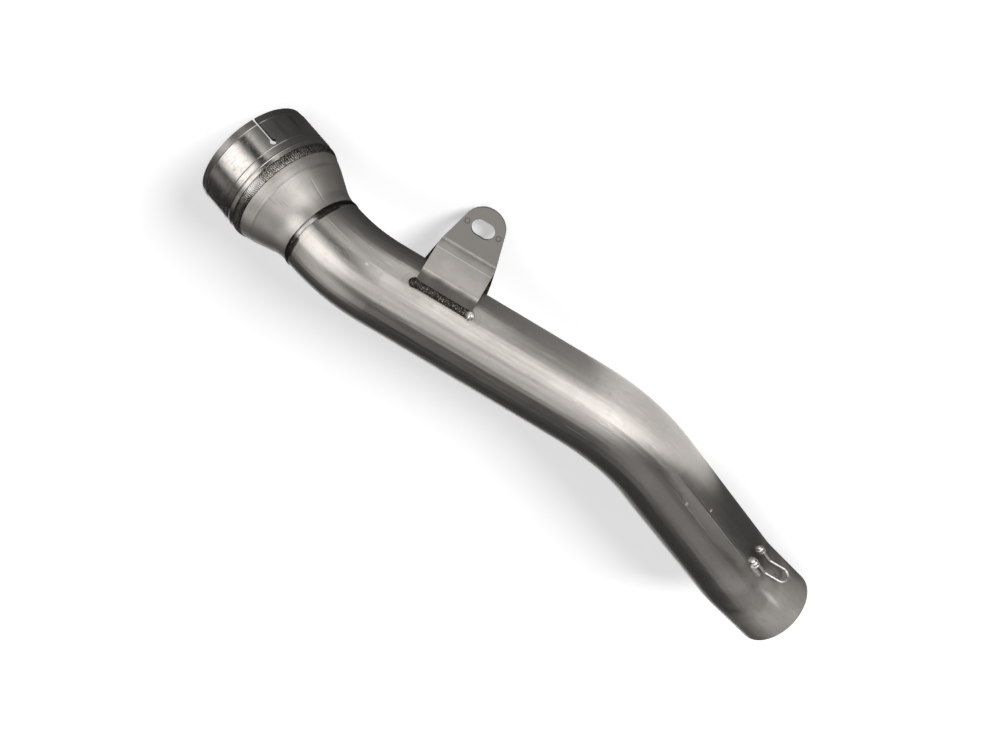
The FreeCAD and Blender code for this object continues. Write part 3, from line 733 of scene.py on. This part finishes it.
def ringBead(name, bead):
    # A bead all round the pipe: crowned across, rippled along, with a shallow root under it
    (leftStation, leftRadius), (rightStation, rightRadius) = bead["left"], bead["right"]
    rootStation, rootRadius = bead["root"]
    ripples = round(2 * math.pi * leftRadius / bead["pitch"])
    steps, across, uneven = ripples * stepsPerRipple, 12, ringUneven
    rows, levels = [], []
    for i in range(steps):
        angle = i / steps * 2 * math.pi
        sine, cosine = math.sin(angle), math.cos(angle)
        row, level = [], []
        for j in range(across + 1):
            u = j / across
            bow = 4 * u * (1 - u)
            slow, quick = uneven["slowNoise"], uneven["edgeNoise"]
            wander = noise.noise(Vector((cosine * slow, sine * slow, u)))
            nearest = ringEdges["right"] if u > 0.5 else ringEdges["left"]
            edge = uneven["edgeReach"] * noise.noise(Vector((cosine * quick, sine * quick, nearest)))
            crest = rippleLevel(i / steps * ripples - bead["curve"] * bow + uneven["phaseReach"] * wander)
            station = leftStation + (rightStation - leftStation) * u + edge * abs(2 * u - 1) ** 3
            radius = leftRadius + (rightRadius - leftRadius) * u
            radius += bow * (bead["crown"] + uneven["crownReach"] * wander)
            radius += bead["depth"] * (crest - ripple["middle"]) * min(1, 4 * bow)
            row.append((station, -radius * sine, radius * cosine))
            level.append(crest)
        rows.append(row + [(rootStation, -rootRadius * sine, rootRadius * cosine)])
        levels.append(level + [0.0])
    return skin(name + "_rippled", rows, levels, mouthPlace, closedAlong=True)


def footBead(name, foot):
    # A fillet bead along a foot of the bracket, from the plate round to the tube, with blobs at its ends
    weld, reach, side, seed = footWelds, foot["reach"], foot["side"], foot["seed"]
    steps, across = round(2 * reach / weld["pitch"]) * stepsPerRipple, 14
    low, high = weld["sweep"]
    out, up = weld["corner"]
    rows, levels = [], []
    for i in range(steps + 1):
        x = -reach + 2 * reach * i / steps
        toEnd = max(0.0, (abs(x) - (reach - weld["endLength"])) / weld["endLength"])
        fromSwell = (abs(x) - reach + weld["swellFromEnd"]) / weld["swellLength"]
        size = weld["size"] + weld["swell"] * math.exp(-fromSwell ** 2)
        size *= math.sqrt(max(0.0, 1 - toEnd ** 2))
        row, level = [], []
        for j in range(across + 1):
            u = j / across
            angle = math.radians(low + (high - low) * u)
            wander = noise.noise(Vector((x * weld["slowNoise"][0], u * weld["slowNoise"][1], seed)))
            lumpAt = Vector((x * weld["lumpNoise"][0], u * weld["lumpNoise"][1], seed + weld["lumpSeed"]))
            lump = weld["lumps"] * noise.noise(lumpAt)
            crest = rippleLevel(x / weld["pitch"] - weld["curve"] * u * (1 - u) + weld["phaseReach"] * wander)
            radius = size * (1 - weld["sag"] * math.sin(math.pi * u))
            radius += (weld["depth"] * (crest - ripple["middle"]) + lump) * (1 - toEnd * weld["endCalm"])
            radius = max(weld["thinnest"], radius) if toEnd < 1 else weld["thinnest"]
            row.append((x, side * (out + radius * math.sin(angle)), up + radius * math.cos(angle)))
            level.append(crest)
        rows.append(row + [(x, side * weld["root"][0], weld["root"][1])])
        levels.append(level + [0.0])
    return skin(name + "_rippled", rows, levels, bracketPlace)


def hookBlob(name, foot):
    # A lump of weld over one foot of the hook, with the swellings of two or three dabs of filler
    weld, side, radius = hookWelds, foot["side"], foot["radius"]
    half = weld["length"] / 2
    slow, quick = weld["lumpNoise"]
    steps, around = 40, 28
    rows, levels = [], []
    for i in range(steps + 1):
        fromStart = half * (1 - math.cos(math.pi * i / steps))
        x = weld["start"] + fromStart
        toEnd = min(1.0, max(0.0, (abs(fromStart - half) - (half - radius)) / radius))
        dab = math.cos(2 * math.pi * fromStart / weld["dabPitch"])
        row = []
        for j in range(around):
            angle = 2 * math.pi * j / around
            sine, cosine = math.sin(angle), math.cos(angle)
            lump = noise.noise(Vector((x * slow, cosine * quick + foot["seed"], sine * quick)))
            out = radius * math.sqrt(1 - toEnd ** 2) * (1 + weld["lumps"] * lump)
            out = max(weld["thinnest"], out + weld["dabHeight"] * dab * (1 - toEnd ** 2))
            row.append((x, side + out * sine, weld["height"] + out * cosine))
        rows.append(row)
        levels.append([0.5 + 0.5 * dab] * around)
    return skin(name + "_lumpy", rows, levels, hookPlace)


def placeBead(bead, name):
    bead.data.materials.append(materials[nodeMaterials[name]])
    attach(bead, "root")
    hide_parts(name)


placeBead(ringBead("collar_weld", collarWeld), "collar_weld")
placeBead(ringBead("cone_weld", coneWeld), "cone_weld")
for name, foot in footWelds["feet"].items():
    placeBead(footBead(name, foot), name)
for name, foot in hookWelds["feet"].items():
    placeBead(hookBlob(name, foot), name)
print("weld beads made")

# Camera: it looks down on the resting pipe, rolled so that the collar is at the upper left
cameraView = {
    "place": (-0.203826, 0.995173, 0.508106), "right": (0.731464, 0.393722, -0.556725),
    "down": (0.660978, -0.208805, 0.720769), "away": (0.167535, -0.895200, -0.412975),
    "lens": 64.8, "sensor": 36.0, "farthest": 50.0}


def addCamera(view):
    camera = addObject("camera", bpy.data.cameras.new("camera"))
    camera.data.lens = view["lens"]
    camera.data.sensor_width = view["sensor"]
    camera.data.clip_end = view["farthest"]
    axes = Matrix((Vector(view["right"]), -Vector(view["down"]), -Vector(view["away"]))).transposed()
    camera.matrix_world = Matrix.LocRotScale(Vector(view["place"]), axes.to_quaternion(), None)
    bpy.context.scene.camera = camera


addCamera(cameraView)

# Studio: a white floor lit by two soft suns that give the shadow, a dark surround with soft glows
# for the metal, and a card flat on the floor before the pipe that only the metal reflects.
# A glow or sun is placed by its turn from the front (+y) to the right (+x) and its height, in degrees.
floorSheet = {"half": 20.0, "colour": 0.80, "shine": 0.43}
surroundLevel = 0.05
glows = {
    "frontLow": {"turn": 9, "height": 3, "inner": 14, "outer": 36, "level": 2.2},
    "frontTop": {"turn": 6, "height": 49, "inner": 8, "outer": 32, "level": 0.90},
    "leftHigh": {"turn": -61, "height": 41, "inner": 12, "outer": 32, "level": 2.1},
    "rightHigh": {"turn": 88, "height": 42, "inner": 6, "outer": 34, "level": 0.30},
    "backLeft": {"turn": -140, "height": 66, "inner": 8, "outer": 26, "level": 0.8},
    "backLow": {"turn": 172, "height": 2, "inner": 3, "outer": 16, "level": 0.4}}
suns = {
    "shadowSun": {"turn": 6, "height": 14, "spread": 12, "power": 6.4},
    "fillSun": {"turn": 0, "height": 75, "spread": 140, "power": 1.2}}
# Dark beside the pipe, paler to the front, cut off along a slant to the right, with a bright wedge
# before the second bend and a bright spot before the cone
groundCard = {
    "left": -0.9, "right": 0.9, "back": -0.12, "front": 0.9, "height": 0.001,
    "beside": (-0.12, 0.04, 0.05, 0.30), "toFront": (-0.04, 0.36), "frontLevel": 1.0,
    "slant": 0.36, "cut": (0.045, 0.135), "cutLevel": 0.09,
    "wedge": {"middle": 0.062, "half": 0.045, "widening": 0.45, "edge": (0.6, 1.4),
              "shine": (0.02, 0.40, 0.95, 2.0)},
    "spot": {"at": (-0.12, 0.115), "half": (0.09, 0.045), "edge": (0.3, 1.3), "level": 1.0}}


def toward(place):
    turn, height = math.radians(place["turn"]), math.radians(place["height"])
    return Vector((math.sin(turn) * math.cos(height), math.cos(turn) * math.cos(height), math.sin(height)))


def flatSheet(name, left, right, back, front, height):
    mesh = bpy.data.meshes.new(name)
    corners = [(left, back, height), (right, back, height), (right, front, height), (left, front, height)]
    mesh.from_pydata(corners, [], [(0, 1, 2, 3)])
    sheet = addObject(name, mesh)
    return sheet


def makeFloor(floor):
    half, white = floor["half"], floor["colour"]
    sheet = flatSheet("floor", -half, half, -half, half, 0)
    material, tree, shader = newMaterial("paleFloor")
    path = addNode(tree, "ShaderNodeLightPath").outputs
    seen = addUp(tree, path["Is Camera Ray"], path["Is Glossy Ray"])
    seen = calc(tree, "ADD", seen, path["Is Transmission Ray"], clamp=True)
    setInputs(tree, shader, {
        "Base Color": (white, white, white, 1), "Roughness": 1.0, "Specular IOR Level": 0.0,
        "Emission Color": (1, 1, 1, 1), "Emission Strength": scaledBy(tree, seen, floor["shine"])})
    sheet.data.materials.append(material)


def makeSurround():
    world = bpy.data.worlds.new("surround")
    bpy.context.scene.world = world
    world.use_nodes = True
    tree = world.node_tree
    direction = addNode(tree, "ShaderNodeTexCoord").outputs["Generated"]
    tone = surroundLevel
    for glow in glows.values():
        values = {0: direction, 1: toward(glow)}
        nearness = addNode(tree, "ShaderNodeVectorMath", values, operation="DOT_PRODUCT").outputs["Value"]
        low, high = math.cos(math.radians(glow["outer"])), math.cos(math.radians(glow["inner"]))
        tone = addUp(tree, tone, fade(tree, nearness, low, high, 0.0, glow["level"]))
    setInputs(tree, tree.nodes["Background"], {"Color": (1, 1, 1, 1), "Strength": tone})
    world.cycles_visibility.diffuse = False


def addSun(name, sun):
    made = addObject(name, bpy.data.lights.new(name, "SUN"))
    made.data.energy = sun["power"]
    made.data.angle = math.radians(sun["spread"])
    made.rotation_mode = "QUATERNION"
    made.rotation_quaternion = toward(sun).to_track_quat("Z", "Y")
    made.visible_glossy = False


def addGroundCard(card):
    wedge, spot = card["wedge"], card["spot"]
    sheet = flatSheet("groundCard", card["left"], card["right"], card["back"], card["front"], card["height"])
    material, tree, shader = newMaterial("groundCard")
    split = splitPoint(tree, objectPoint(tree))
    x, y = split["X"], split["Y"]
    beside = fade(tree, x, *card["beside"])
    tone = blendValues(tree, fade(tree, y, *card["toFront"]), beside, card["frontLevel"])
    aside = less(tree, x, scaledBy(tree, y, card["slant"]))
    tone = blendValues(tree, fade(tree, aside, *card["cut"]), tone, card["cutLevel"])
    halfWidth = addUp(tree, wedge["half"], scaledBy(tree, y, wedge["widening"]))
    offMiddle = shareOf(tree, offFrom(tree, aside, wedge["middle"]), halfWidth)
    inWedge = fade(tree, offMiddle, *wedge["edge"], 1.0, 0.0)
    wedgeShine = scaledBy(tree, inWedge, fade(tree, y, *wedge["shine"]))
    sideways = shareOf(tree, less(tree, x, spot["at"][0]), spot["half"][0])
    forward = shareOf(tree, less(tree, y, spot["at"][1]), spot["half"][1])
    spotShine = fade(tree, squares(tree, sideways, forward), *spot["edge"], spot["level"], 0.0)
    shine = calc(tree, "MAXIMUM", wedgeShine, spotShine)
    setInputs(tree, shader, {
        "Base Color": (0, 0, 0, 1), "Roughness": 1.0, "Specular IOR Level": 0.0,
        "Emission Color": (1, 1, 1, 1), "Emission Strength": calc(tree, "MAXIMUM", tone, shine)})
    sheet.data.materials.append(material)
    sheet.visible_camera = sheet.visible_diffuse = sheet.visible_shadow = False


makeFloor(floorSheet)
makeSurround()
for name, sun in suns.items():
    addSun(name, sun)
addGroundCard(groundCard)
bpy.context.scene.view_settings.view_transform = "Standard"
print("studio set")
